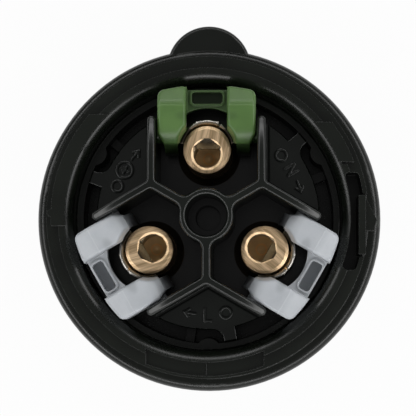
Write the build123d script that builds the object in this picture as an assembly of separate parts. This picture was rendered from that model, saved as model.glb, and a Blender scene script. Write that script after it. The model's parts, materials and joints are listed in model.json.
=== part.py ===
"""Front half of a round three-pole industrial plug, open at its wiring side.

The shroud stands with its mouth on the plane z = 0 and its axis on Z. The terminals and their clamp
levers face up, +Z, and the key of the shroud points along +Y. A pole is drawn on the X axis, with u
the way outwards and v across, and is then turned to its own angle. Sizes are in millimetres.
"""

from build123d import *
import os
from math import cos, radians, sin, sqrt, tan

# Poles, as angles about the plug's axis, spaced evenly from the earth pole at the key
pole_names = ("earth", "line", "neutral")
half_pitch = 180.0 / len(pole_names)
pole_angles = {name: 90.0 + 2 * half_pitch * turn for turn, name in enumerate(pole_names)}
sector_angles = [angle + half_pitch for angle in pole_angles.values()]

# Contact pins, turned from brass, with a wire barrel at the rear
pin_circle_radius = 9.0
earth_pin_diameter = 6.0
live_pin_diameter = 5.0
pin_tip_setback = 3.0
pin_tip_round = 1.6
pin_neck_step = 0.3
pin_flange_width = 0.8
pin_flange_thickness = 1.5
barrel_radius = 3.2
barrel_height = 13.0
barrel_chamfer_width = 0.4
barrel_chamfer_depth = 0.2
wire_bore_radius = 1.85
wire_bore_offset = 0.6
wire_bore_depth = 10.0
drill_point_depth = 1.0
bore_chamfer_width = 0.3
bore_chamfer_depth = 0.15
gate_side_u = 0.43
gate_end_u = 1.59
gate_end_half = 0.38
gate_depth = 2.5
window_half_width = 1.7
window_top_margin = 1.1
window_height = 3.3

# Shroud and key around the pins
shroud_radius = 21.8
shroud_wall = 2.3
shroud_depth = 38.0
mouth_round = 0.7
partition = 3.0
key_radius = 5.85
key_rise = 5.2
key_mouth_gap = 1.5
key_flange_drop = 0.3
key_round = 0.5

# Flange and collar round the wiring chamber
flange_width = 1.95
flange_lift = 1.9
flange_thickness = 2.6
flange_round = 1.1
collar_wall = 3.7
collar_height = 13.5
ledge_width = 1.0
ledge_height = 7.3
lip_width = 2.05
lip_step = 0.95
lip_round = 1.6
edge_break = 0.25

# Lugs, recess and snap latch on the rim, as spans along Y or X
lug_start = 1.05
lug_width = 3.0
lug_rise = 0.35
left_lug_span = (-1.2, 13.9)
right_lug_span = (7.4, 12.8)
detent_radius = 0.5
detent_y = 0.55
recess_span = (-8.35, 7.65)
recess_reach = (1.45, 3.35)
recess_depth = 0.5
notch_span = (7.05, 7.4)
notch_reach = (18.2, 19.6)
notch_depth = 0.4
latch_span = (-7.2, 6.0)
latch_wall = 1.2
latch_outer_wall = 0.6
latch_corner = 0.6
latch_depth = 8.0
latch_gap = 1.05
tongue_thickness = 0.95
tongue_span = (-5.1, 2.9)
tongue_gap = 0.3
tongue_rise = 0.3
hook_span = (-1.9, 2.7)
hook_tip_y = -0.4
hook_reach = 1.5
hook_back_share = 0.75
hook_height = 2.5
hook_drop = 0.3

# Posts and block ribs that stand on the chamber's floor under each sector plate
post_radius = 1.7
post_reach = 0.75
post_turn = 0.0
block_width = 1.3
block_length = 2.3
block_height = 3.4
block_turn = -9.0

# Contact carrier
floor_thickness = 3.0
carrier_height = 19.0
carrier_gap = 0.3
hub_hole_radius = 2.75
hub_wall = 0.9
hub_hole_depth = 10.0
hub_step_radius = 1.7
hub_step_depth = 4.0
hub_blend = 1.2
rib_thickness = 1.25
pocket_blend = 0.6
wall_thickness = 1.15
wall_overhang = 1.5
roof_offset = 0.6
roof_slope = 24.0
roof_round = 14.0
top_round = 0.4
top_round_share = 0.42
well_gap = 1.1
well_depth = 0.25
plate_gap = 2.9
plate_thickness = 1.6
plate_height = 6.0
pad_thickness = 0.25
pad_inset = 0.35
pad_round = 0.2
tooth_start = 7.0
tooth_end = 14.0
tooth_reach = 1.8
tooth_blend = 1.5

# Spring bands with a clamp blade, folded from steel strip
band_thickness = 0.55
band_round = 0.25
band_slack = 0.08
band_offset = 0.35
band_height = 5.3
band_top_drop = 1.2
band_half_span = 80.0
band_slit = 0.3
band_slit_depth = 3.6
slit_angles = {"earth": -28.0, "line": 14.0, "neutral": -12.0}
blade_tips = {"earth": 0.3, "line": 0.5, "neutral": 0.35}
blade_half_width = 1.55
blade_thickness = 0.35
blade_fall = 1.9

# Clamp levers, lengths out from the pin's axis and heights from the barrel's face
lever_pivot_u = 2.3
lever_pivot_drop = 3.5
trunnion_radius = 1.2
trunnion_engagement = 0.9
trunnion_play = 0.08
lever_side_gap = 0.2
arm_inner_half = 2.75
arm_clearance = 0.6
arm_tip_u = 0.7
arm_end_gap = 0.5
arm_crest_setback = 2.54
arm_crest_height = 2.5
arm_crest_round = 2.5
arm_end_fall = 0.47
arm_shoulder_u = 1.7
arm_shoulder_height = 1.95
arm_shoulder_round = 3.5
arm_tip_height = 0.95
arm_edge_round = 0.45
arm_end_arc = 26.0
tip_chamfer_u = 2.1
tip_chamfer_v = 0.8
arm_corner_round = 1.0
barrel_relief = 0.55
relief_flare = 0.55
leg_clearance = 0.47
leg_thickness = 2.3
leg_back_u = 2.2
leg_depth = 9.9
foot_clearance = 0.15
foot_reach = 0.95
foot_drop = 0.3
foot_fall = 4.5
knee_u = 3.6
knee_depth = 5.2
bridge_top_drop = 1.5
bridge_thickness = 2.8
bridge_arc_radius = 5.8
bridge_clearance = 1.63
bridge_web = 0.5
bridge_setback = 0.3
slot_half_length = 2.1
slot_width = 1.6
slot_depth = 2.0
slot_edge = 0.28
slot_edge_rise = 0.3
slot_round = 0.45

# Fits between the pieces
pin_clearance = 0.1
barrel_clearance = 0.1

# Heights that follow from the sizes above
seat_z = shroud_depth + partition
flange_bottom = seat_z + flange_lift
flange_top = flange_bottom + flange_thickness
ledge_z = seat_z + ledge_height
rim_z = seat_z + collar_height
shoulder_z = rim_z - lip_step
lug_z = rim_z + lug_rise
floor_z = seat_z + floor_thickness
carrier_top = seat_z + carrier_height
barrel_top = seat_z + pin_flange_thickness + barrel_height
arm_base_z = barrel_top + arm_clearance
pivot_z = barrel_top - lever_pivot_drop
bridge_top = barrel_top - bridge_top_drop
bridge_bottom = bridge_top - bridge_thickness
band_top = barrel_top - band_top_drop

# Lever and pocket, worked out from the barrel outwards
band_inner = barrel_radius + band_slack
band_outer = band_inner + band_thickness
leg_inner_half = band_outer + leg_clearance
arm_outer_half = leg_inner_half + leg_thickness
pocket_half_width = arm_outer_half + lever_side_gap
bridge_inner_u = band_offset + band_outer + bridge_clearance
bridge_arc_u = bridge_inner_u - bridge_arc_radius
slot_end_u = bridge_inner_u + bridge_web + slot_width
bridge_end_u = slot_end_u + slot_edge
arm_end_u = bridge_end_u + bridge_setback
arm_crest_u = arm_end_u - arm_crest_setback
arm_blank_u = arm_end_u + arm_end_gap
arm_arc_u = arm_end_u - sqrt(arm_end_arc ** 2 - arm_inner_half ** 2)
foot_u = arm_tip_u - foot_reach
arm_end_radius = sqrt((pin_circle_radius + arm_end_u) ** 2 + arm_inner_half ** 2)
leg_gap_end_u = bridge_inner_u - slot_edge

# Housing and carrier, worked out from the levers outwards
chamber_radius = arm_end_radius + arm_end_gap
ledge_radius = chamber_radius - ledge_width
lip_radius = chamber_radius + lip_width
lug_radius = chamber_radius + lug_width
collar_radius = chamber_radius + collar_wall
flange_radius = max(collar_radius, shroud_radius) + flange_width
tongue_offset = chamber_radius + latch_wall + latch_gap
shroud_bore = shroud_radius - shroud_wall
key_centre = shroud_radius + key_rise - key_radius
carrier_radius = ledge_radius - carrier_gap
plate_radius = chamber_radius - plate_gap
hub_radius = hub_hole_radius + hub_wall
well_radius = barrel_radius + well_gap
pin_flange_radius = barrel_radius + pin_flange_width
wall_end = pin_circle_radius + lever_pivot_u + wall_overhang
roof_u = pin_circle_radius + roof_offset
wall_centre = pocket_half_width + wall_thickness / 2
junction_u = wall_centre / tan(radians(half_pitch))
junction_radius = wall_centre / sin(radians(half_pitch))


def rounded_face(plane, corners):
    """Face on a plane with corners (x, y, radius), where a radius of 0 is a sharp corner."""
    points = [(x, y) for x, y, _ in corners]
    radii = [radius for _, _, radius in corners]
    return make_face(plane * FilletPolyline(*points, radius=radii, close=True))


def slab(corners, y_span):
    """Side outline with corners (x, z, radius), carried across from one y value to another."""
    face = Pos(0, y_span[0], 0) * rounded_face(Plane.XZ, corners)
    return extrude(face, y_span[1] - y_span[0], dir=(0, 1, 0))


def block(x_span, y_span, z_span):
    """Box between two values on each axis."""
    low = Align.MIN
    size = [span[1] - span[0] for span in (x_span, y_span, z_span)]
    return Pos(x_span[0], y_span[0], z_span[0]) * Box(*size, align=(low, low, low))


def post(radius, bottom, top):
    """Cylinder on the Z axis between two heights."""
    return Pos(0, 0, bottom) * Cylinder(radius, top - bottom, align=(Align.CENTER, Align.CENTER, Align.MIN))


def ring(inner, outer, bottom, top):
    """Ring about the Z axis between two heights."""
    return post(outer, bottom, top) - post(inner, bottom, top)


def at_pole(name):
    """Place of a pole's pin axis, with X pointing outwards."""
    return Rot(0, 0, pole_angles[name]) * Pos(pin_circle_radius, 0, 0)


def pin_radius(name):
    """Radius of a pole's contact pin: the earth pin is the thick one."""
    return (earth_pin_diameter if name == "earth" else live_pin_diameter) / 2


def shell():
    """Turned form of the shroud, the partition, the flange and the collar with its lip."""
    return revolve(rounded_face(Plane.XZ, [
        (0, shroud_depth, 0),
        (shroud_bore, shroud_depth, mouth_round),
        (shroud_bore, 0, mouth_round),
        (shroud_radius, 0, mouth_round),
        (shroud_radius, flange_bottom, edge_break),
        (flange_radius, flange_bottom, edge_break),
        (flange_radius, flange_top, flange_round),
        (collar_radius, flange_top, edge_break),
        (collar_radius, shoulder_z, 0),
        (lip_radius, shoulder_z, 0),
        (lip_radius, rim_z, 0),
        (chamber_radius, rim_z, lip_round),
        (chamber_radius, ledge_z, edge_break),
        (ledge_radius, ledge_z, 0),
        (ledge_radius, seat_z, 0),
        (0, seat_z, 0),
    ]), Axis.Z)


def key():
    """Round keyway rib on the outside of the shroud, from near the mouth up to the flange."""
    body = Pos(0, key_centre) * post(key_radius, key_mouth_gap, flange_top - key_flange_drop)
    body = fillet(body.edges().filter_by(GeomType.CIRCLE), key_round)
    return body - post(shroud_radius - shroud_wall / 2, 0, flange_top)


def rim_lugs():
    """Raised lugs on the left and right of the rim, with a small detent on the left one."""
    band = ring(chamber_radius + lug_start, lug_radius, shoulder_z, lug_z)
    left = band & block((-flange_radius, 0), left_lug_span, (shoulder_z, lug_z))
    right = band & block((0, flange_radius), right_lug_span, (shoulder_z, lug_z))
    detent_x = -sqrt(lug_radius ** 2 - detent_y ** 2)
    return left + right + Pos(detent_x, detent_y) * post(detent_radius, shoulder_z, lug_z)


def rim_recess():
    """Shallow recess in the rim opposite the key, and the notch below the right lug."""
    bottom = shoulder_z - recess_depth
    inner, outer = (chamber_radius + reach for reach in recess_reach)
    band = ring(inner, outer, bottom, rim_z)
    recess = band & block(recess_span, (-flange_radius, 0), (bottom, rim_z))
    return recess + block(notch_reach, notch_span, (rim_z - notch_depth, lug_z))


def latch_space():
    """Pocket of the snap latch inside the collar, open to the outside along the tongue."""
    centre = Pos(flange_radius / 2, sum(latch_span) / 2)
    plan = Circle(collar_radius - latch_outer_wall) - Circle(chamber_radius + latch_wall)
    plan &= centre * Rectangle(flange_radius, latch_span[1] - latch_span[0])
    pocket = extrude(fillet(plan.vertices(), latch_corner), latch_depth, dir=(0, 0, 1))
    open_span = (tongue_span[0] - tongue_gap, tongue_span[1] + tongue_gap)
    opening = block((tongue_offset, flange_radius), open_span, (rim_z - latch_depth, rim_z))
    return Pos(0, 0, rim_z - latch_depth) * pocket + opening


def latch_tongue():
    """Springy tongue of the latch, with a wedge-shaped barb on its outer face."""
    face = tongue_offset + tongue_thickness
    bar = block((tongue_offset, face), tongue_span, (rim_z - latch_depth, rim_z + tongue_rise))
    barb = make_face(Polyline(
        (face - edge_break, hook_span[1]),
        (face, hook_span[1]),
        (face + hook_reach, hook_tip_y),
        (face + hook_reach * hook_back_share, hook_span[0]),
        (face - edge_break, hook_span[0]),
        close=True,
    ))
    return bar + Pos(0, 0, rim_z - hook_drop - hook_height) * extrude(barb, hook_height, dir=(0, 0, 1))


def chamber_fittings():
    """Posts and block ribs on the chamber's floor, one of each under every sector plate."""
    fittings = Part()
    for angle in sector_angles:
        place = Rot(0, 0, angle + post_turn) * Pos(ledge_radius - post_reach + post_radius, 0)
        fittings += place * post(post_radius, seat_z, ledge_z)
        outer = ledge_radius + edge_break
        rib = block((outer - block_length, outer), (-block_width / 2, block_width / 2),
                    (seat_z, seat_z + block_height))
        fittings += Rot(0, 0, angle + block_turn) * rib
    return fittings


def front_housing():
    """Shroud, key, flange and collar, moulded as one piece."""
    body = shell() + key() + rim_lugs() + chamber_fittings()
    body -= rim_recess()
    body -= latch_space()
    body += latch_tongue()
    for name in pole_angles:
        body -= at_pole(name) * post(pin_radius(name) + pin_neck_step + pin_clearance, 0, seat_z)
    return body


def wall_roof():
    """Space over a pole's pair of walls, whose tops curve down towards the rim, drawn on the X axis."""
    start = roof_u - roof_round * tan(radians(roof_slope / 2)) - edge_break
    across = pocket_half_width + 2 * wall_thickness
    return slab([
        (start, carrier_top + edge_break, 0),
        (start, carrier_top, 0),
        (roof_u, carrier_top, roof_round),
        (carrier_radius, carrier_top - tan(radians(roof_slope)) * (carrier_radius - roof_u), 0),
        (carrier_radius, carrier_top + edge_break, 0),
    ], (-across, across))


def carrier_web():
    """Hub, three ribs and the pairs of pocket walls, as one upright star with rounded top edges."""
    star = Sketch() + Circle(hub_radius)
    for angle in sector_angles:
        star += Rot(0, 0, angle) * Pos(junction_radius / 2, 0) * Rectangle(junction_radius, rib_thickness)
    for angle in pole_angles.values():
        for side in (-1, 1):
            middle = Pos((junction_u + wall_end) / 2, side * wall_centre)
            star += Rot(0, 0, angle) * middle * SlotCenterToCenter(wall_end - junction_u, wall_thickness)
    corner_limit = junction_radius + wall_thickness

    def reach(corner):
        return sqrt(corner.X ** 2 + corner.Y ** 2)

    star = fillet([c for c in star.vertices() if reach(c) < hub_radius + edge_break], hub_blend)
    inner = hub_radius + hub_blend
    star = fillet([c for c in star.vertices() if inner < reach(c) < corner_limit], pocket_blend)
    web = Pos(0, 0, seat_z) * extrude(star, carrier_height, dir=(0, 0, 1))
    hub_step = carrier_top - hub_hole_depth
    web -= post(hub_hole_radius, hub_step, carrier_top)
    web -= post(hub_step_radius, hub_step - hub_step_depth, hub_step)
    for angle in pole_angles.values():
        web -= Rot(0, 0, angle) * wall_roof()
    uppermost = [face for face in web.faces() if face.center().Z > hub_step + edge_break]
    tops = [face for face in uppermost if face.normal_at().Z > cos(radians(2 * roof_slope))]
    edges = [edge for face in tops for edge in face.edges()]
    rims = [edge for edge in edges if edges.count(edge) == 1]
    round_limit = top_round_share * min(hub_wall, wall_thickness, rib_thickness)
    return fillet(rims, min(top_round, round_limit))


def pocket_floor():
    """Floor of one pole's pocket, dished round the barrel, drawn on the X axis."""
    corner_u = pocket_half_width / tan(radians(half_pitch))
    outline = make_face(Polyline(
        (0, 0),
        (corner_u, pocket_half_width),
        (carrier_radius, pocket_half_width),
        (carrier_radius, -pocket_half_width),
        (corner_u, -pocket_half_width),
        close=True,
    ))
    floor = Pos(0, 0, seat_z) * extrude(outline & Circle(carrier_radius), floor_thickness, dir=(0, 0, 1))
    well = Cone(barrel_radius, well_radius, well_depth)
    return floor - Pos(pin_circle_radius, 0, floor_z - well_depth / 2) * well


def sector_outline(inset):
    """Plan of a sector plate on the X axis: a wedge between two walls, with a tooth on its arc."""
    apex = junction_radius + inset / sin(radians(half_pitch))
    far = apex + plate_radius * cos(radians(half_pitch))
    half = plate_radius * sin(radians(half_pitch))
    wedge = make_face(Polyline((apex, 0), (far, half), (far, -half), close=True))
    tooth_arc = (tooth_start + tooth_end) / 2
    tooth_width = plate_radius * radians(tooth_end - tooth_start)
    tooth = Rot(0, 0, tooth_arc) * Pos(plate_radius, 0) * Rectangle(2 * tooth_reach, tooth_width)
    plate = (wedge & Circle(plate_radius)) + tooth

    def is_tooth_root(corner):
        reach = sqrt(corner.X ** 2 + corner.Y ** 2)
        return abs(reach - plate_radius) < edge_break and 0 < corner.Y < tooth_width + half / 2

    roots = plate.vertices().filter_by(is_tooth_root)
    return fillet(roots.sort_by(Axis.Y)[0], tooth_blend)


def sector_plate():
    """Plate between two pockets, with a slightly raised pad inset from the walls."""
    plate_top = floor_z + plate_height
    bottom = Pos(0, 0, plate_top - plate_thickness)
    base = bottom * extrude(sector_outline(0), plate_thickness - pad_thickness, dir=(0, 0, 1))
    inset = wall_thickness / 2 + pad_inset
    pad = bottom * extrude(sector_outline(inset), plate_thickness, dir=(0, 0, 1))
    pad = fillet(pad.faces().sort_by(Axis.Z)[-1].edges(), pad_round)
    return base + pad


def contact_carrier():
    """Moulded insert that holds the three pins apart and carries the levers in its pocket walls."""
    body = carrier_web()
    for angle in pole_angles.values():
        body += Rot(0, 0, angle) * pocket_floor()
    for angle in sector_angles:
        body += Rot(0, 0, angle) * sector_plate()
    hole_radius = trunnion_radius + trunnion_play
    across = pocket_half_width + 2 * wall_thickness
    for name in pole_angles:
        body -= at_pole(name) * post(barrel_radius + barrel_clearance, seat_z, floor_z)
        flange_space = post(pin_flange_radius + pin_clearance, seat_z, seat_z + pin_flange_thickness)
        body -= at_pole(name) * flange_space
        hole = Rot(90, 0, 0) * Cylinder(hole_radius, 2 * across)
        body -= at_pole(name) * Pos(lever_pivot_u, 0, pivot_z) * hole
    return body


def contact_pin(name):
    """Turned pin: a round-nosed shaft, a neck, a flange and a barrel with an off-centre wire bore.

    The bore widens outwards near the barrel's face, to a narrow end over the clamp blade.
    """
    radius = pin_radius(name)
    neck = radius + pin_neck_step
    flange_z = seat_z + pin_flange_thickness
    pin = revolve(rounded_face(Plane.XZ, [
        (0, pin_tip_setback, 0),
        (radius, pin_tip_setback, pin_tip_round),
        (radius, shroud_depth, 0),
        (neck, shroud_depth, 0),
        (neck, seat_z, 0),
        (pin_flange_radius, seat_z, edge_break),
        (pin_flange_radius, flange_z, edge_break),
        (barrel_radius, flange_z, 0),
        (barrel_radius, barrel_top - barrel_chamfer_depth, 0),
        (barrel_radius - barrel_chamfer_width, barrel_top, 0),
        (0, barrel_top, 0),
    ]), Axis.Z)
    bore_end = barrel_top - wire_bore_depth
    bore = revolve(make_face(Plane.XZ * Polyline(
        (0, bore_end - drill_point_depth),
        (wire_bore_radius, bore_end),
        (wire_bore_radius, barrel_top - bore_chamfer_depth),
        (wire_bore_radius + bore_chamfer_width, barrel_top),
        (0, barrel_top),
        close=True,
    )), Axis.Z)
    pin -= Pos(-wire_bore_offset, 0) * bore
    gate = make_face(Polyline(
        (-wire_bore_offset, wire_bore_radius),
        (gate_side_u, wire_bore_radius),
        (gate_end_u, gate_end_half),
        (gate_end_u, -gate_end_half),
        (gate_side_u, -wire_bore_radius),
        (-wire_bore_offset, -wire_bore_radius),
        close=True,
    ))
    pin -= Pos(0, 0, barrel_top) * extrude(gate, gate_depth, dir=(0, 0, -1))
    window_top = barrel_top - window_top_margin
    window = block((0, barrel_radius + band_slack), (-window_half_width, window_half_width),
                   (window_top - window_height, window_top))
    return at_pole(name) * (pin - window)


def clamp_spring(name):
    """Open band round the barrel, slit at its top, with a blade that slopes into the wire bore."""
    bottom = band_top - band_height
    corner_u = 2 * band_outer * cos(radians(band_half_span))
    corner_v = 2 * band_outer * sin(radians(band_half_span))
    back = (-2 * band_outer, 0)
    gap = make_face(Polyline((0, 0), (corner_u, corner_v), back, (corner_u, -corner_v), close=True))
    band = revolve(rounded_face(Plane.XZ, [
        (band_inner, bottom, 0),
        (band_outer, bottom, 0),
        (band_outer, band_top, band_round),
        (band_inner, band_top, 0),
    ]), Axis.Z)
    band -= Pos(0, 0, bottom) * extrude(gap, band_height, dir=(0, 0, 1))
    cut = block((0, 2 * band_outer), (-band_slit / 2, band_slit / 2), (band_top - band_slit_depth, band_top))
    band -= Rot(0, 0, slit_angles[name]) * cut
    root_u = band_offset + band_outer - band_round
    tip_u = blade_tips[name]
    blade = slab([
        (root_u, band_top, 0),
        (tip_u, band_top - blade_fall, 0),
        (tip_u, band_top - blade_fall - blade_thickness, 0),
        (root_u, band_top - blade_thickness, 0),
    ], (-blade_half_width, blade_half_width))
    return at_pole(name) * (Pos(band_offset, 0) * band + blade)


def lever_arm():
    """Arm of a lever on the +v side: a humped cap over the barrel's face and a leg with a foot inwards."""
    outer = arm_outer_half
    cap = slab([
        (arm_blank_u, arm_base_z, 0),
        (arm_blank_u, arm_base_z + arm_crest_height - arm_end_fall * (arm_blank_u - arm_crest_u), 0),
        (arm_crest_u, arm_base_z + arm_crest_height, arm_crest_round),
        (arm_shoulder_u, arm_base_z + arm_shoulder_height, arm_shoulder_round),
        (arm_tip_u, arm_base_z + arm_tip_height, 0),
        (arm_tip_u, arm_base_z, 0),
    ], (0, outer))
    leg = slab([
        (arm_blank_u, arm_base_z, 0),
        (arm_blank_u, bridge_bottom, 0),
        (knee_u + bridge_thickness, bridge_bottom, 0),
        (knee_u, arm_base_z - knee_depth, 0),
        (leg_back_u, arm_base_z - leg_depth, 0),
        (arm_tip_u, arm_base_z - leg_depth, 0),
        (arm_tip_u, arm_base_z, 0),
    ], (0, outer))
    plan = make_face(Polyline(
        (arm_blank_u, arm_inner_half),
        (arm_blank_u, outer),
        (tip_chamfer_u, outer),
        (arm_tip_u, outer - tip_chamfer_v),
        (arm_tip_u, arm_inner_half),
        close=True,
    ))
    plan &= Pos(arm_arc_u, 0) * Circle(arm_end_arc)
    plan = fillet(plan.vertices().sort_by(Axis.Y)[-2:].sort_by(Axis.X)[-1], arm_corner_round)
    cap &= Pos(0, 0, arm_base_z) * extrude(plan, arm_crest_height, dir=(0, 0, 1))
    relief = barrel_radius + barrel_relief
    flare = Cone(relief, relief + relief_flare, arm_crest_height)
    cap -= Pos(0, 0, arm_base_z + arm_crest_height / 2) * flare
    upper_edges = cap.edges().filter_by(lambda edge: edge.center().Z > arm_base_z + edge_break)
    cap = fillet(upper_edges, arm_edge_round)
    leg_plan = plan & Pos(-pin_circle_radius, 0) * Circle(arm_end_radius)
    leg &= Pos(0, 0, arm_base_z - leg_depth) * extrude(leg_plan, leg_depth, dir=(0, 0, 1))
    leg -= block((0, leg_gap_end_u), (0, leg_inner_half), (arm_base_z - leg_depth, arm_base_z))
    foot = slab([
        (arm_tip_u + edge_break, arm_base_z - foot_drop, 0),
        (foot_u, arm_base_z - foot_fall, 0),
        (foot_u, arm_base_z - leg_depth, 0),
        (arm_tip_u + edge_break, arm_base_z - leg_depth, 0),
    ], (band_outer + foot_clearance, outer - tip_chamfer_v))
    return cap + leg + foot


def clamp_lever(name):
    """U-shaped lever: two arms, the bridge with its screwdriver slot and two trunnions."""
    arm = lever_arm()
    arms = arm + mirror(arm, Plane.XZ)
    gap = (-leg_inner_half, leg_inner_half)
    bridge = block((bridge_arc_u, bridge_end_u), gap, (bridge_bottom, bridge_top))
    bridge -= Pos(bridge_arc_u, 0) * post(bridge_arc_radius, bridge_bottom, bridge_top)
    slot_place = Pos(slot_end_u - slot_width / 2, 0, bridge_top + slot_edge_rise)
    slot = RectangleRounded(slot_width, 2 * slot_half_length, slot_round)
    edge_width, edge_length = slot_width + 2 * slot_edge, 2 * (slot_half_length + slot_edge)
    edge = RectangleRounded(edge_width, edge_length, slot_round + slot_edge)
    bridge += slot_place * extrude(edge, slot_edge_rise, dir=(0, 0, -1))
    bridge -= slot_place * extrude(slot, slot_depth, dir=(0, 0, -1))
    pivot_length = 2 * (arm_outer_half + trunnion_engagement)
    trunnions = Pos(lever_pivot_u, 0, pivot_z) * Rot(90, 0, 0) * Cylinder(trunnion_radius, pivot_length)
    trunnions -= block((0, leg_gap_end_u), gap, (bridge_bottom - bridge_thickness, bridge_top))
    return at_pole(name) * (arms + bridge + trunnions)


def write(shape, node):
    """Save one piece under its node's name."""
    export_step(shape, os.path.join("parts", node + ".step"))


os.makedirs("parts", exist_ok=True)
write(front_housing(), "front_housing")
write(contact_carrier(), "contact_carrier")
for pole in pole_angles:
    write(contact_pin(pole), "contact_pin_" + pole)
    write(clamp_spring(pole), "clamp_spring_" + pole)
    write(clamp_lever(pole), "clamp_lever_" + pole)
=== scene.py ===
"""Finishes, raised marks and studio for the front half of a round three-pole industrial plug.

Laid out as an add-on and run as a script. All lengths are in metres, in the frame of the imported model:
Z along the plug's axis from the shroud's mouth to the wiring side, Y towards the key of the shroud.
"""

import json
from math import atan2, cos, pi, radians, sin

import bpy
import numpy as np
from bpy.props import FloatProperty, FloatVectorProperty, PointerProperty
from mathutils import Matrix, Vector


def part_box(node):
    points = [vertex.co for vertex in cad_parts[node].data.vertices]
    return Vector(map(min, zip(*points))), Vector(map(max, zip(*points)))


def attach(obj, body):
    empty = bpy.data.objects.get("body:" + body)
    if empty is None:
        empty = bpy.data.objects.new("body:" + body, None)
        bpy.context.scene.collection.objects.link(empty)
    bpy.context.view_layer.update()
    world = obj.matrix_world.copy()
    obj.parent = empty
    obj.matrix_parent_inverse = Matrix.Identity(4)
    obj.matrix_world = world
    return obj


bl_info = {
    "name": "Industrial plug, open at the wiring side",
    "version": (1, 0, 0),
    "blender": (4, 5, 0),
    "location": "View3D > Sidebar > Plug",
    "description": "Dresses the packed plug with its finishes, its raised marks and a studio",
    "category": "Object",
}

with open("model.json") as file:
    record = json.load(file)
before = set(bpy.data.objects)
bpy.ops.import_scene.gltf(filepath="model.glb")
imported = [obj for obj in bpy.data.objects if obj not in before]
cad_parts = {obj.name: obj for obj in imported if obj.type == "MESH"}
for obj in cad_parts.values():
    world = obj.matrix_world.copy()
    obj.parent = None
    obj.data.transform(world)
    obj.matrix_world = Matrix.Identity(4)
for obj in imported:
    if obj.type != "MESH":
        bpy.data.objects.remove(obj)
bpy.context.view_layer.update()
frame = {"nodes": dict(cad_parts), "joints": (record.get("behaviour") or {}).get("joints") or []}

MM = 0.001
PICTURE_PIXELS = 416
SENSOR_MM = 36.0

# Places on the pieces that their finishes, painted shade and painted highlights follow, from the plug's axis
# or from a pin's axis, and their reach
BORE_SHIFT = 0.6 * MM
BARREL_INSIDE = 2.9 * MM
# Radius of the ring in the bore that is painted bright as a highlight
BORE_RING_GLINT = 0.72 * MM
BAND_SHIFT = 0.35 * MM
BAND_MIDDLE = 3.55 * MM
BLADE_ROOT = 3.0 * MM
ARM_FOOT_Z = 56.1 * MM
BRIDGE_TOP_Z = 54.0 * MM
FOLD_OUT = 14.75 * MM
SINK_OUT = 13.35 * MM
SINK_ACROSS = 3.2 * MM
SINK_REACH = (0.8 * MM, 1.25 * MM)
TIP_OUT = 9.7 * MM
GATE_SCAR = (23.45 * MM, -0.25 * MM)
GATE_SCAR_REACH = (0.55 * MM, 1.1 * MM)
RECESS_FLOOR_Z = 53.05 * MM
FLANGE_BOTTOM_Z = 43.0 * MM
FINE_STEP = 0.1 * MM

# Grain of the black plastics: roughness, waves to the metre, depth and index of refraction
HOUSING_GRAIN = (0.28, 3800.0, 0.006 * MM, 1.5)
CARRIER_GRAIN = (0.23, 1600.0, 0.006 * MM, 1.56)
MOTTLE_WAVES = 140.0

# Radii over which the shading rounds a sharp edge, and the depths of the fine relief
PLASTIC_BEVEL = 0.12 * MM
STRIP_BEVEL = 0.15 * MM
BEVEL_SAMPLES = 6
SCRATCH_DEPTH = 0.014 * MM
LINE_DEPTH = 0.006 * MM
WAX_DEPTH = 0.06 * MM

# Saw scratches on each barrel's face, as their angle about Z
SCRATCH_ANGLES = {"earth": radians(-12), "line": radians(-72), "neutral": radians(50)}

# Ring of light, as the rise of a direction where the light comes in and where it goes out again
RING_START = (0.56, 0.63)
RING_END = (0.70, 0.78)

# Raised strokes: points across a stroke, points round a ring, and size of the earth sign in its ring
STROKE_POINTS = 9
RING_POINTS = 40
SIGN_IN_RING = 0.66

# Angle past which an edge of a piece stays sharp, and points along a side of the floor
SMOOTH_LIMIT = radians(50)
FLOOR_POINTS = 9

# Poles, from the levers' hinges: name, angle about the plug's axis, and the middle of the pin's barrel face
poles = {}
for joint in frame["joints"]:
    name = joint["child"].removeprefix("lever_")
    low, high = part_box("contact_pin_" + name)
    middle = ((low.x + high.x) / 2, (low.y + high.y) / 2, high.z)
    poles[name] = (atan2(joint["pos_m"][1], joint["pos_m"][0]), middle)


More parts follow.
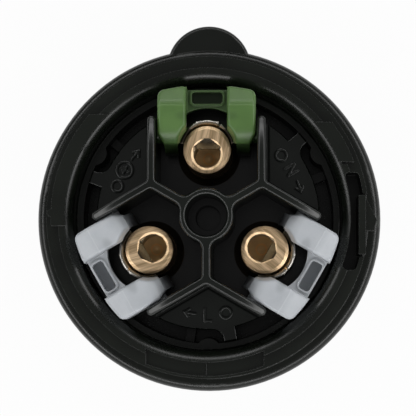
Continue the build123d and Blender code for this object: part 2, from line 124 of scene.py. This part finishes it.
class Wire:
    """An output socket of a node tree. Arithmetic on wires adds Math nodes to that tree."""

    def __init__(self, tree, socket=None):
        self.tree = tree
        self.socket = socket

    def node(self, kind, settings=None, sockets=None, output=0):
        """Add any node: its settings first, then the values or links of its sockets. Gives one output."""
        made = self.tree.nodes.new(kind)
        for name, value in (settings or {}).items():
            setattr(made, name, value)
        for name, value in (sockets or {}).items():
            if isinstance(value, Wire):
                self.tree.links.new(value.socket, made.inputs[name])
            else:
                made.inputs[name].default_value = value
        return Wire(self.tree, made.outputs[output] if len(made.outputs) else None)

    def math(self, operation, *values):
        return self.node("ShaderNodeMath", {"operation": operation}, dict(enumerate(values)))

    def __add__(self, other):
        return self.math("ADD", self, other)

    def __sub__(self, other):
        return self.math("SUBTRACT", self, other)

    def __rsub__(self, other):
        return self.math("SUBTRACT", other, self)

    def __mul__(self, other):
        return self.math("MULTIPLY", self, other)

    def __truediv__(self, other):
        return self.math("DIVIDE", self, other)

    def __pow__(self, other):
        return self.math("POWER", self, other)

    def __abs__(self):
        return self.math("ABSOLUTE", self)

    __radd__ = __add__
    __rmul__ = __mul__

    def rise(self, low, high):
        """Smooth step from 0 to 1 as this wire goes from low to high."""
        span = {"Value": self, "From Min": low, "From Max": high}
        return self.node("ShaderNodeMapRange", {"interpolation_type": "SMOOTHSTEP"}, span)

    def near(self, middle, reach):
        """1 where this wire is at middle, falling smoothly to 0 at reach from it."""
        return 1 - abs(self - middle).rise(0.0, reach)

    def length(self, other):
        """Length of the vector whose two components are this wire and another."""
        return (self * self + other * other) ** 0.5

    def colour(self, first, second):
        """Colour between two others, with this wire as the share of the second."""
        pair = [c if isinstance(c, Wire) else (*c, 1.0) for c in (first, second)]
        return self.node("ShaderNodeMix", {"data_type": "RGBA"}, {0: self, 6: pair[0], 7: pair[1]}, 2)

    def noise(self, stretch, detail=2.0, roughness=0.5):
        """Noise from 0 to 1 over this vector, with stretch waves to the metre along each axis."""
        scaled = self.node("ShaderNodeVectorMath", {"operation": "MULTIPLY"}, {0: self, 1: stretch})
        sockets = {"Vector": scaled, "Scale": 1.0, "Detail": detail, "Roughness": roughness}
        return self.node("ShaderNodeTexNoise", None, sockets)

    def turned(self, middle, angle):
        """This vector seen from middle, with X along the angle about Z."""
        place = {"Vector": self, "Location": middle, "Rotation": (0.0, 0.0, angle)}
        return self.node("ShaderNodeMapping", {"vector_type": "TEXTURE"}, place)

    def parts(self):
        """The three components of this vector."""
        split = self.node("ShaderNodeSeparateXYZ", None, {"Vector": self}).socket.node
        return [Wire(self.tree, socket) for socket in split.outputs]


def shade(name):
    """New material as a wire on its empty node tree, and the material."""
    material = bpy.data.materials.new(name)
    material.use_nodes = True
    material.node_tree.nodes.clear()
    return Wire(material.node_tree), material


def spot(at):
    """Object coordinates of a piece."""
    return at.node("ShaderNodeTexCoord", output="Object")


def edge_and_normal(at, radius):
    """Mask of the sharp edges and the normal rounded over them, both from a bevel of that radius."""
    rounded = at.node("ShaderNodeBevel", {"samples": BEVEL_SAMPLES}, {"Radius": radius})
    plain = at.node("ShaderNodeNewGeometry", output="Normal")
    same = at.node("ShaderNodeVectorMath", {"operation": "DOT_PRODUCT"}, {0: rounded, 1: plain}, "Value")
    return (1 - same).rise(0.02, 0.25), rounded


def bump(at, height, depth, normal=None):
    """Normal of a surface that stands up by height times depth."""
    sockets = {"Height": height, "Distance": depth, "Strength": 1.0}
    if normal is not None:
        sockets["Normal"] = normal
    return at.node("ShaderNodeBump", None, sockets)


def surface(at, **sockets):
    """Principled surface with those sockets, joined to the material's output."""
    named = {name.replace("_", " "): value for name, value in sockets.items()}
    body = at.node("ShaderNodeBsdfPrincipled", None, named)
    at.node("ShaderNodeOutputMaterial", None, {"Surface": body})


def moulded_black(name, black, wear_and_highlight_grey, grain_look):
    """Black moulded plastic: fine grain, slow mottling, edges painted paler, partly as wear and partly as a
    painted highlight, and a scuffed gate scar.
    """
    rough, grain_waves, grain_depth, index = grain_look
    at, material = shade(name)
    place = spot(at)
    grain = place.noise((grain_waves,) * 3, 3.0, 0.6)
    mottle = place.noise((MOTTLE_WAVES,) * 3, 3.0)
    edge, rounded = edge_and_normal(at, PLASTIC_BEVEL)
    x, y, height = place.parts()
    scar_x = (x - GATE_SCAR[0]) / GATE_SCAR_REACH[0]
    scar_y = (y - GATE_SCAR[1]) / GATE_SCAR_REACH[1]
    on_flange = height.rise(FLANGE_BOTTOM_Z, FLANGE_BOTTOM_Z + 1.0 * MM)
    scar = (1 - scar_x.length(scar_y).rise(0.5, 1.0)) * grain.rise(0.4, 0.6) * on_flange
    shadow = [0.7 * c for c in black]
    # Paler edges: partly wear, partly a painted highlight along them.
    colour = edge.colour(mottle.rise(0.3, 0.7).colour(shadow, black), wear_and_highlight_grey)
    surface(at, Base_Color=scar.colour(colour, [3 * c for c in wear_and_highlight_grey]),
            Roughness=rough + 0.05 * (grain - 0.5) + 0.1 * (mottle - 0.5) + 0.2 * scar,
            IOR=index, Normal=bump(at, grain, grain_depth, rounded))
    return material


def machined_brass(name, look, middle, pole_angle, scratch_angle):
    """Brass of one pin: straight saw scratches on the barrel's face, turning rings on its sides.

    The wire bore is browner, and a ring round its axis deep in the bore is painted bright brass as a
    highlight.
    """
    at, material = shade(name)
    place = spot(at)
    u, v, height = place.turned(middle, pole_angle).parts()
    facing = at.node("ShaderNodeTexCoord", output="Normal").parts()[2].rise(0.8, 0.95)
    scratched = place.turned(middle, scratch_angle)
    broad = scratched.noise((1500.0, 110.0, 100.0), 2.0)
    fine = scratched.noise((6500.0, 320.0, 100.0), 3.0)
    rings = place.noise((60.0, 60.0, 5000.0), 3.0)
    streak = facing * (0.6 * broad + 0.4 * fine) + (1 - facing) * rings
    bore = (u + BORE_SHIFT).length(v)
    hollow = 1 - u.length(v).rise(BARREL_INSIDE, BARREL_INSIDE + FINE_STEP)
    inside = hollow * (1 - height.rise(-0.5 * MM, -0.25 * MM))
    polish = streak.rise(0.38, 0.62).colour(look.brass_dark, look.brass_bright)
    # Painted highlight: a ring round the bore's axis, deep in the bore, in bright brass.
    ring = inside * bore.near(BORE_RING_GLINT, 0.2 * MM)
    colour = ring.colour(inside.colour(polish, look.brass_bore), look.brass_bright)
    surface(at, Base_Color=colour, Metallic=1.0, Roughness=0.36 + 0.16 * streak,
            Normal=bump(at, streak, SCRATCH_DEPTH))
    return material


def rolled_steel(name, look, middle, pole_angle):
    """Steel strip: thin lines along its length, a painted reflection of the brass on the band's inner edge,
    and painted shade on the blade but not on its edges.
    """
    at, material = shade(name)
    local = spot(at).turned(middle, pole_angle)
    u, v, height = local.parts()
    lines = local.noise((250.0, 250.0, 6000.0), 3.0)
    edge, rounded = edge_and_normal(at, STRIP_BEVEL)
    # Painted reflection of the brass barrel on the band's inner edge.
    brass_reflection = 1 - (u - BAND_SHIFT).length(v).rise(BAND_MIDDLE - FINE_STEP, BAND_MIDDLE + FINE_STEP)
    # Painted shade on the clamp blade, which is the same steel as the band; its edges are left bright.
    blade = 1 - u.rise(BLADE_ROOT - 2 * FINE_STEP, BLADE_ROOT)
    steel = lines.rise(0.3, 0.7).colour(look.steel_dark, look.steel_bright)
    colour = (0.75 * brass_reflection).colour(steel, look.steel_brass_reflection)
    colour = (blade * (1 - edge)).colour(colour, look.blade_painted_shade)
    surface(at, Base_Color=colour, Metallic=1.0, Roughness=0.12 + 0.12 * lines,
            Normal=bump(at, lines, LINE_DEPTH, rounded))
    return material


def waxy_plastic(name, colours, pole_angle):
    """Lever plastic: painted shade where it goes down between the walls, on the bridge, towards the tips, on
    the feet and in the sink marks, which are also dents in the bump; painted highlights on the fold line and
    the edges.
    """
    at, material = shade(name)
    place = spot(at)
    out, across, height = place.turned((0.0, 0.0, 0.0), pole_angle).parts()
    mottle = place.noise((420.0,) * 3, 3.0)
    flow = place.noise((900.0, 300.0, 300.0), 2.0)
    edge, rounded = edge_and_normal(at, STRIP_BEVEL)
    side = abs(across)
    top = height.rise(ARM_FOOT_Z + 1.2 * MM, ARM_FOOT_Z + 1.8 * MM)
    wander = 0.25 * MM * (mottle - 0.5)
    # Pale fold line: a painted highlight along the crest, which also rises slightly in the bump.
    fold = (out + wander).near(FOLD_OUT, 0.14 * MM) * top
    # Sink marks: real dents in the bump, and painted shade in their colour.
    sink = ((out - SINK_OUT) / SINK_REACH[0]).length((side - SINK_ACROSS) / SINK_REACH[1])
    sink_mark_and_shade = (1 - sink.rise(0.3, 1.1)) * top
    # Painted shade, darker towards the arms' inner ends.
    tip_shade = 1 - out.rise(TIP_OUT, TIP_OUT + 2.2 * MM)
    # Painted shade on the feet below the arms' inner ends.
    inwards = 1 - out.rise(TIP_OUT - FINE_STEP, TIP_OUT)
    foot = inwards * (1 - height.rise(ARM_FOOT_Z - 0.5 * MM, ARM_FOOT_Z))
    # Painted shade: below the arms the bridge takes its darker shaded colour.
    above = height.rise(BRIDGE_TOP_Z - 0.3 * MM, ARM_FOOT_Z)
    # Painted shade, darker where the plastic goes down between the walls.
    deep = 1 - height.rise(BRIDGE_TOP_Z - 3.2 * MM, BRIDGE_TOP_Z - 1.2 * MM)
    body = mottle.rise(0.25, 0.75).colour(colours["shade"], colours["body"])
    colour = above.colour(colours["bridge"], body)
    colour = deep.colour(colour, colours["deep"])
    # Painted shade towards the arms' inner ends, on the feet and in the sink marks.
    colour = (0.5 * tip_shade + 0.4 * foot + 0.3 * sink_mark_and_shade).colour(colour, colours["deep"])
    # Painted highlight on the fold line and the edges.
    colour = (0.35 * fold + 0.7 * edge).colour(colour, colours["edge"])
    relief = 0.2 * mottle + 0.1 * flow - 0.5 * sink_mark_and_shade + 0.3 * fold
    surface(at, Base_Color=colour, Roughness=0.34 + 0.12 * (mottle - 0.5),
            Subsurface_Weight=0.1, Subsurface_Radius=(1.0, 1.0, 1.0), Subsurface_Scale=0.4 * MM,
            Normal=bump(at, relief, WAX_DEPTH, rounded))
    return material


def paint(nodes, material):
    """Give CAD nodes their finish, by their own material slots."""
    for node in nodes:
        solid = frame["nodes"][node]
        if not solid.material_slots:
            solid.data.materials.append(None)
        for place in solid.material_slots:
            place.material = material


def ridge(path, width, height, base, closed=False):
    """Raised stroke: an upright dome profile carried along a flat path.

    Point (i, j) is path[i] + side[i] * x[j], at base + z[j]. The side is the mitre of the two runs that
    meet at path[i], and (x, z) goes round half an ellipse with power 1/2, then back along its flat foot.
    """
    path = np.asarray(path, float)
    if closed:
        runs = np.roll(path, -1, 0) - path
        before, after = np.roll(runs, 1, 0), runs
    else:
        runs = np.diff(path, axis=0)
        before, after = np.vstack([runs[:1], runs]), np.vstack([runs, runs[-1:]])
    before = before / np.linalg.norm(before, axis=1)[:, None]
    after = after / np.linalg.norm(after, axis=1)[:, None]
    turn = np.array([[0.0, 1.0], [-1.0, 0.0]])
    side = (before @ turn + after @ turn) / (1 + np.sum(before * after, axis=1))[:, None]
    around = np.linspace(0, pi, STROKE_POINTS)
    x = 0.5 * width * np.sign(np.cos(around)) * np.sqrt(np.abs(np.cos(around)))
    z = height * np.sqrt(np.sin(around).clip(0))
    flat = path[:, None, :] + side[:, None, :] * x[None, :, None]
    points = np.concatenate([flat, np.broadcast_to(base + z, flat.shape[:2])[..., None]], axis=2)
    rows, columns = points.shape[:2]
    index = np.arange(rows * columns).reshape(rows, columns)
    along = index if closed else index[:-1]
    beyond = np.roll(index, -1, 0) if closed else index[1:]
    quads = np.stack([along, np.roll(along, -1, 1), np.roll(beyond, -1, 1), beyond], axis=2).reshape(-1, 4)
    caps = [] if closed else [index[0][::-1], index[-1]]
    return points.reshape(-1, 3), quads, caps


def sheet(radius, count):
    """Flat square of points (x, y, 0), with both from -radius to radius in equal steps."""
    steps = np.linspace(-radius, radius, count)
    x, y = np.meshgrid(steps, steps)
    index = np.arange(count * count).reshape(count, count)
    quads = np.stack([index[:-1, :-1], index[:-1, 1:], index[1:, 1:], index[1:, :-1]], axis=2).reshape(-1, 4)
    return np.stack([x, y, 0 * x], axis=2).reshape(-1, 3), quads, []


def piece(name, skins, material):
    """One mesh object from several skins of points, quads and end caps, smooth over its rounded parts."""
    faces = []
    offset = 0
    for points, quads, caps in skins:
        faces += (quads + offset).tolist()
        faces += [(cap + offset).tolist() for cap in caps]
        offset += len(points)
    mesh = bpy.data.meshes.new(name)
    mesh.from_pydata(np.concatenate([points for points, quads, caps in skins]).tolist(), [], faces)
    mesh.validate()
    mesh.polygons.foreach_set("use_smooth", np.ones(len(mesh.polygons), bool))
    mesh.set_sharp_from_angle(angle=SMOOTH_LIMIT)
    mesh.materials.append(material)
    made = bpy.data.objects.new(name, mesh)
    bpy.context.scene.collection.objects.link(made)
    return made


def circle_path(radius):
    """Closed path: points at equal angles on a circle."""
    angle = np.linspace(0, 2 * pi, RING_POINTS, endpoint=False)
    return radius * np.stack([np.cos(angle), np.sin(angle)], axis=1)


def on_plate(flat, angle, radius):
    """Points of a flat sign put at an angle and a radius about the plug's axis, its top towards the hub."""
    out = np.array([np.cos(angle), np.sin(angle)])
    right = np.array([-np.sin(angle), np.cos(angle)])
    flat = np.asarray(flat, float)
    return radius * out + flat[:, :1] * right - flat[:, 1:] * out


# Strokes of the signs, in halves of a letter's height: poles' signs, and an arrow towards the pole
SIGNS = {
    "line": [[(-0.5, 1), (-0.5, -1), (0.6, -1)]],
    "neutral": [[(-0.6, -1), (-0.6, 1)], [(-0.6, 1), (0.6, -1)], [(0.6, -1), (0.6, 1)]],
    "earth": [[(0, 0.95), (0, 0.05)], [(-0.8, 0.05), (0.8, 0.05)], [(-0.52, -0.35), (0.52, -0.35)],
              [(-0.25, -0.75), (0.25, -0.75)]],
    "arrow": [[(0.9, 0), (-0.8, 0)], [(-0.1, 0.65), (-0.9, 0), (-0.1, -0.65)]],
}


class PlugFinishes(bpy.types.PropertyGroup):
    """Colours of the plug's materials, among them painted shade, painted highlights and a painted reflection.
    """

    housing_black: FloatVectorProperty(name="Housing", description="Black of the moulded housing",
                                       subtype="COLOR", default=(0.0042, 0.0057, 0.0037), min=0, max=1)
    carrier_black: FloatVectorProperty(name="Carrier", description="Black of the contact carrier",
                                       subtype="COLOR", default=(0.0031, 0.0047, 0.0031), min=0, max=1)
    # Paler edges of the black plastics: partly wear, partly a painted highlight.
    worn_edge_and_highlight: FloatVectorProperty(name="Worn edge and highlight", description="Grey of the black plastics' edges",
                                   subtype="COLOR", default=(0.010, 0.0116, 0.0096), min=0, max=1)
    brass_bright: FloatVectorProperty(name="Bright brass", description="Brass on the ridges of a scratch",
                                      subtype="COLOR", default=(0.95, 0.70, 0.44), min=0, max=1)
    brass_dark: FloatVectorProperty(name="Dark brass", description="Brass in the floor of a scratch",
                                    subtype="COLOR", default=(0.50, 0.345, 0.19), min=0, max=1)
    brass_bore: FloatVectorProperty(name="Bore brass", description="Tarnished brass inside the wire bore",
                                    subtype="COLOR", default=(0.82, 0.70, 0.53), min=0, max=1)
    steel_bright: FloatVectorProperty(name="Bright steel", description="Steel on the ridges of its lines",
                                      subtype="COLOR", default=(0.86, 0.82, 0.77), min=0, max=1)
    steel_dark: FloatVectorProperty(name="Dark steel", description="Steel between its lines",
                                    subtype="COLOR", default=(0.56, 0.52, 0.46), min=0, max=1)
    # Painted reflection of the brass, on the band's inner edge.
    steel_brass_reflection: FloatVectorProperty(name="Steel's brass reflection", description="Inner edge of the band beside the brass",
                                    subtype="COLOR", default=(0.60, 0.45, 0.26), min=0, max=1)
    # Painted shade: the blade is the same steel, darkened for the shade deep in the bore.
    blade_painted_shade: FloatVectorProperty(name="Blade", description="Dark steel of the clamp blade",
                                    subtype="COLOR", default=(0.11, 0.095, 0.07), min=0, max=1)
    green: FloatVectorProperty(name="Green", description="Earth lever's plastic",
                               subtype="COLOR", default=(0.085, 0.165, 0.045), min=0, max=1)
    green_shade: FloatVectorProperty(name="Green shade", description="Darker clouds in the green plastic",
                                     subtype="COLOR", default=(0.072, 0.142, 0.039), min=0, max=1)
    # Painted shade: a darker copy of the green for the bridge, which lies lower.
    green_bridge_shaded: FloatVectorProperty(name="Green bridge", description="Green plastic of the lever's bridge",
                                      subtype="COLOR", default=(0.040, 0.078, 0.024), min=0, max=1)
    # Painted shade of the green deep between the walls, also used on the tips, the feet and in the sink
    # marks.
    green_deep_shade: FloatVectorProperty(name="Deep green", description="Green plastic deep between the walls",
                                    subtype="COLOR", default=(0.026, 0.052, 0.016), min=0, max=1)
    # Painted highlight on the green lever's edges and fold line.
    green_edge_highlight: FloatVectorProperty(name="Green edge", description="Pale edges and fold line of the green",
                                    subtype="COLOR", default=(0.150, 0.260, 0.090), min=0, max=1)
    grey: FloatVectorProperty(name="Grey", description="Live levers' plastic",
                              subtype="COLOR", default=(0.455, 0.477, 0.502), min=0, max=1)
    grey_shade: FloatVectorProperty(name="Grey shade", description="Darker clouds in the grey plastic",
                                    subtype="COLOR", default=(0.405, 0.427, 0.452), min=0, max=1)
    # Painted shade: a slightly darker copy of the grey for the bridge, which lies lower.
    grey_bridge_shaded: FloatVectorProperty(name="Grey bridge", description="Grey plastic of the lever's bridge",
                                     subtype="COLOR", default=(0.450, 0.470, 0.492), min=0, max=1)
    # Painted shade of the grey deep between the walls, also used on the tips, the feet and in the sink marks.
    grey_deep_shade: FloatVectorProperty(name="Deep grey", description="Grey plastic deep between the walls",
                                   subtype="COLOR", default=(0.150, 0.160, 0.168), min=0, max=1)
    # Painted highlight on the grey levers' edges and fold line.
    grey_edge_highlight: FloatVectorProperty(name="Grey edge", description="Pale edges and fold line of the grey",
                                   subtype="COLOR", default=(0.600, 0.620, 0.640), min=0, max=1)


class PlugMarks(bpy.types.PropertyGroup):
    """Sizes of the raised marks on the sector plates and of the housing's parting line."""

    plate_height: FloatProperty(name="Plate height", description="Top of the sector plates",
                                unit="LENGTH", default=50.0 * MM)
    middle_radius: FloatProperty(name="Middle", description="Distance of a mark from the plug's axis",
                                 unit="LENGTH", default=13.2 * MM)
    letter_height: FloatProperty(name="Letter height", description="Height of a letter",
                                 unit="LENGTH", default=1.8 * MM)
    beside_shift: FloatProperty(name="Beside", description="Distance from a sign to the marks beside it",
                                unit="LENGTH", default=2.45 * MM)
    pip_radius: FloatProperty(name="Pip radius", description="Radius of the small ring beside a sign",
                              unit="LENGTH", default=0.75 * MM)
    ring_radius: FloatProperty(name="Ring radius", description="Radius of the ring round the earth sign",
                               unit="LENGTH", default=1.1 * MM)
    stroke_width: FloatProperty(name="Stroke width", description="Width of a raised stroke",
                                unit="LENGTH", default=0.45 * MM)
    stroke_height: FloatProperty(name="Stroke height", description="Rise of a stroke over the plate",
                                 unit="LENGTH", default=0.25 * MM)
    sink: FloatProperty(name="Sink", description="Depth of a stroke's foot in the plate",
                        unit="LENGTH", default=0.04 * MM)
    parting_place: FloatProperty(name="Parting line", description="Place of the parting line across the plug",
                                 unit="LENGTH", default=-0.15 * MM)
    parting_inner: FloatProperty(name="Parting start", description="Start of the parting line from the axis",
                                 unit="LENGTH", default=19.7 * MM)
    parting_outer: FloatProperty(name="Parting end", description="End of the parting line from the axis",
                                 unit="LENGTH", default=21.5 * MM)
    parting_width: FloatProperty(name="Parting width", description="Width and rise of the parting line",
                                 unit="LENGTH", default=0.16 * MM)


class PlugStudio(bpy.types.PropertyGroup):
    """Camera, light and floor."""

    camera_place: FloatVectorProperty(name="Camera", description="Place of the camera",
                                      subtype="TRANSLATION", unit="LENGTH",
                                      default=(8.494 * MM, -12.957 * MM, 375.5 * MM))
    camera_turn: FloatVectorProperty(name="Camera turn", description="Turn of the camera: Y, then X and Z",
                                     subtype="EULER", unit="ROTATION",
                                     default=(radians(2.519), radians(1.498), radians(-0.081)))
    camera_focus: FloatProperty(name="Focal length", description="Focal length in pixels of the picture",
                                default=2377.0, min=1)
    ring_light: FloatProperty(name="Ring light", description="Radiance of the ring of light", default=4.0)
    overhead_light: FloatProperty(name="Overhead light", description="Radiance straight above", default=0.18)
    low_light: FloatProperty(name="Low light", description="Radiance from low down all round", default=0.35)
    heading: FloatProperty(name="Heading", description="Angle about Z of the side with the most light",
                           subtype="ANGLE", default=radians(-68))
    ring_share: FloatProperty(name="Ring share", description="Extra share of the ring's light on that side",
                              default=0.2)
    low_share: FloatProperty(name="Low share", description="Extra share of the low light on that side",
                             default=0.9)
    floor_colour: FloatVectorProperty(name="Floor", description="Colour of the pale floor", subtype="COLOR",
                                      default=(0.9, 0.9, 0.9), min=0, max=1)
    floor_radius: FloatProperty(name="Floor radius", description="Reach of the floor",
                                unit="LENGTH", default=4.0)
    floor_glow: FloatProperty(name="Floor glow", description="Share of plain white in the floor as seen",
                              default=0.93, min=0, max=1)


class PLUG_OT_dress_housing(bpy.types.Operator):
    """Black grained plastic on the front housing, and its parting line"""

    bl_idname = "plug.dress_housing"
    bl_label = "Dress the housing"

    def execute(self, context):
        look = context.scene.plug_finishes
        marks = context.scene.plug_marks
        plastic = moulded_black("housing_plastic", look.housing_black, look.worn_edge_and_highlight, HOUSING_GRAIN)
        paint(["front_housing"], plastic)
        path = [(marks.parting_place, -marks.parting_outer), (marks.parting_place, -marks.parting_inner)]
        line = ridge(path, marks.parting_width, marks.parting_width + marks.sink, RECESS_FLOOR_Z - marks.sink)
        parting = piece("parting_line", [line], plastic)
        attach(parting, "plug")
        return {"FINISHED"}


class PLUG_OT_dress_carrier(bpy.types.Operator):
    """Black satin plastic on the contact carrier"""

    bl_idname = "plug.dress_carrier"
    bl_label = "Dress the carrier"

    def execute(self, context):
        look = context.scene.plug_finishes
        plastic = moulded_black("carrier_plastic", look.carrier_black, look.worn_edge_and_highlight, CARRIER_GRAIN)
        paint(["contact_carrier"], plastic)
        return {"FINISHED"}


class PLUG_OT_dress_pins(bpy.types.Operator):
    """Machined brass on the three contact pins"""

    bl_idname = "plug.dress_pins"
    bl_label = "Dress the pins"

    def execute(self, context):
        look = context.scene.plug_finishes
        for name, (angle, middle) in poles.items():
            brass = machined_brass("pin_brass_" + name, look, middle, angle, SCRATCH_ANGLES[name])
            paint(["contact_pin_" + name], brass)
        return {"FINISHED"}


class PLUG_OT_dress_springs(bpy.types.Operator):
    """Rolled steel on the three clamp springs"""

    bl_idname = "plug.dress_springs"
    bl_label = "Dress the springs"

    def execute(self, context):
        look = context.scene.plug_finishes
        for name, (angle, middle) in poles.items():
            paint(["clamp_spring_" + name], rolled_steel("spring_steel_" + name, look, middle, angle))
        return {"FINISHED"}


class PLUG_OT_dress_levers(bpy.types.Operator):
    """Waxy green plastic on the earth lever and grey on the live ones"""

    bl_idname = "plug.dress_levers"
    bl_label = "Dress the levers"

    def execute(self, context):
        look = context.scene.plug_finishes
        # The bridge, deep and edge colours are painted shade and painted highlights.
        green = {"body": look.green, "shade": look.green_shade, "bridge": look.green_bridge_shaded,
                 "deep": look.green_deep_shade, "edge": look.green_edge_highlight}
        grey = {"body": look.grey, "shade": look.grey_shade, "bridge": look.grey_bridge_shaded,
                "deep": look.grey_deep_shade, "edge": look.grey_edge_highlight}
        for name, (angle, middle) in poles.items():
            colours = green if name == "earth" else grey
            paint(["clamp_lever_" + name], waxy_plastic("lever_plastic_" + name, colours, angle))
        return {"FINISHED"}


class PLUG_OT_raise_marks(bpy.types.Operator):
    """Raised sign of each pole on the plate that follows it, between an arrow to the pole and a small ring"""

    bl_idname = "plug.raise_marks"
    bl_label = "Raise the marks"

    def execute(self, context):
        marks = context.scene.plug_marks
        base = marks.plate_height - marks.sink
        rise = marks.stroke_height + marks.sink
        half = marks.letter_height / 2
        look = context.scene.plug_finishes
        plastic = moulded_black("mark_plastic", look.carrier_black, look.carrier_black, CARRIER_GRAIN)
        for name, (angle, middle) in poles.items():
            middle_angle = angle + pi / len(poles)
            turn = marks.beside_shift / marks.middle_radius
            scale = SIGN_IN_RING * marks.ring_radius if name == "earth" else half
            paths = [on_plate(scale * np.array(run, float), middle_angle, marks.middle_radius)
                     for run in SIGNS[name]]
            paths += [on_plate(half * np.array(run, float), middle_angle - turn, marks.middle_radius)
                      for run in SIGNS["arrow"]]
            rings = [on_plate(circle_path(marks.pip_radius), middle_angle + turn, marks.middle_radius)]
            if name == "earth":
                rings.append(on_plate(circle_path(marks.ring_radius), middle_angle, marks.middle_radius))
            skins = [ridge(path, marks.stroke_width, rise, base) for path in paths]
            skins += [ridge(ring, marks.stroke_width, rise, base, closed=True) for ring in rings]
            mark = piece("mark_" + name, skins, plastic)
            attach(mark, "plug")
        return {"FINISHED"}


class PLUG_OT_set_stage(bpy.types.Operator):
    """White floor, soft light from the sides and the camera"""

    bl_idname = "plug.set_stage"
    bl_label = "Set the stage"

    def execute(self, context):
        studio = context.scene.plug_studio
        self.lay_floor(studio)
        self.light(context.scene, studio)
        self.place_camera(context.scene, studio)
        context.scene.view_settings.view_transform = "Standard"
        return {"FINISHED"}

    def lay_floor(self, studio):
        """Floor at the height of the shroud's mouth, matt, and mostly plain white as the camera sees it."""
        at, material = shade("studio_floor")
        rays = at.node("ShaderNodeLightPath").socket.node.outputs
        kinds = ("Is Camera Ray", "Is Glossy Ray", "Is Transmission Ray")
        camera, glossy, through = (Wire(at.tree, rays[kind]) for kind in kinds)
        seen = at.math("MAXIMUM", at.math("MAXIMUM", camera, glossy), through)
        share = seen * studio.floor_glow
        matt = at.node("ShaderNodeBsdfDiffuse", None, {"Color": (*studio.floor_colour, 1.0)})
        white = at.node("ShaderNodeEmission", None, {"Color": (1.0, 1.0, 1.0, 1.0), "Strength": 1.0})
        mixed = at.node("ShaderNodeMixShader", None, {0: share, 1: matt, 2: white})
        at.node("ShaderNodeOutputMaterial", None, {"Surface": mixed})
        piece("floor", [sheet(studio.floor_radius, FLOOR_POINTS)], material)

    def light(self, scene, studio):
        """World with a bright ring about 48 degrees from straight up, strongest on the heading's side."""
        world = bpy.data.worlds.new("studio")
        world.use_nodes = True
        world.node_tree.nodes.clear()
        at = Wire(world.node_tree)
        across, along, up = at.node("ShaderNodeTexCoord", output="Generated").parts()
        heading = across * cos(studio.heading) + along * sin(studio.heading)
        above = up.rise(*RING_START)
        ring = (above - up.rise(*RING_END)) * (1 + studio.ring_share * heading) * studio.ring_light
        low = (1 - above) * (1 + studio.low_share * heading) * studio.low_light
        strength = ring + low + above * studio.overhead_light
        sky = at.node("ShaderNodeBackground", None, {"Color": (1.0, 1.0, 1.0, 1.0), "Strength": strength})
        at.node("ShaderNodeOutputWorld", None, {"Surface": sky})
        scene.world = world

    def place_camera(self, scene, studio):
        """Camera at the photograph's angle."""
        lens = bpy.data.cameras.new("camera")
        lens.sensor_width = SENSOR_MM
        lens.lens = studio.camera_focus * SENSOR_MM / PICTURE_PIXELS
        lens.clip_start = 0.01
        camera = bpy.data.objects.new("camera", lens)
        camera.rotation_mode = "YXZ"
        camera.location = studio.camera_place
        camera.rotation_euler = studio.camera_turn
        scene.collection.objects.link(camera)
        scene.camera = camera


STEPS = (
    PLUG_OT_dress_housing,
    PLUG_OT_dress_carrier,
    PLUG_OT_dress_pins,
    PLUG_OT_dress_springs,
    PLUG_OT_dress_levers,
    PLUG_OT_raise_marks,
    PLUG_OT_set_stage,
)


class PLUG_PT_sidebar(bpy.types.Panel):
    """Steps of dressing the plug"""

    bl_idname = "PLUG_PT_sidebar"
    bl_label = "Plug"
    bl_space_type = "VIEW_3D"
    bl_region_type = "UI"
    bl_category = "Plug"

    def draw(self, context):
        for step in STEPS:
            self.layout.operator(step.bl_idname)


GROUPS = {"plug_finishes": PlugFinishes, "plug_marks": PlugMarks, "plug_studio": PlugStudio}


def register():
    for group in GROUPS.values():
        bpy.utils.register_class(group)
    for step in (*STEPS, PLUG_PT_sidebar):
        bpy.utils.register_class(step)
    for name, group in GROUPS.items():
        setattr(bpy.types.Scene, name, PointerProperty(type=group))


def unregister():
    for name in GROUPS:
        delattr(bpy.types.Scene, name)
    for step in (PLUG_PT_sidebar, *reversed(STEPS)):
        bpy.utils.unregister_class(step)
    for group in GROUPS.values():
        bpy.utils.unregister_class(group)


def main():
    """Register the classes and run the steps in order."""
    register()
    bpy.ops.plug.dress_housing()
    bpy.ops.plug.dress_carrier()
    bpy.ops.plug.dress_pins()
    bpy.ops.plug.dress_springs()
    bpy.ops.plug.dress_levers()
    bpy.ops.plug.raise_marks()
    bpy.ops.plug.set_stage()


if __name__ == "__main__":
    main()
